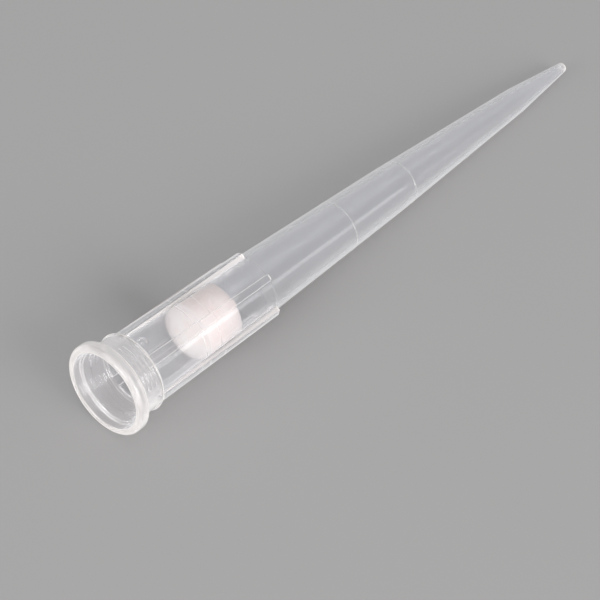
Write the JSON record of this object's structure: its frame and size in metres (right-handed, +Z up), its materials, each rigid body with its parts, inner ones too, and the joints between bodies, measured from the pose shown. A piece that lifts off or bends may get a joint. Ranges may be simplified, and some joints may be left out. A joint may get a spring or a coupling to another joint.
{
  "type": "filter pipette tip",
  "caption": "Clear ribbed pipette tip with a flared lip, graduation rings, a long fine point and a white porous plug in its hub.",
  "frame": {"origin": "under the middle of the bounding box, on the ground that the tip lies on", "axes": "+Y is the way the point lies and -Y the way the mouth faces; +Z is up; the tip's own axis drops 3.20 degrees from the mouth to the point"},
  "size_m": [0.0074, 0.0546, 0.0075],
  "materials": {
    "clear_polypropylene": "clear moulded polypropylene, slightly milky, glossy",
    "porous_polyethylene": "sintered porous polyethylene, white and matte"
  },
  "bodies": {
    "root": {"tip_body": "clear_polypropylene", "filter": "porous_polyethylene"}
  },
  "joints": []
}
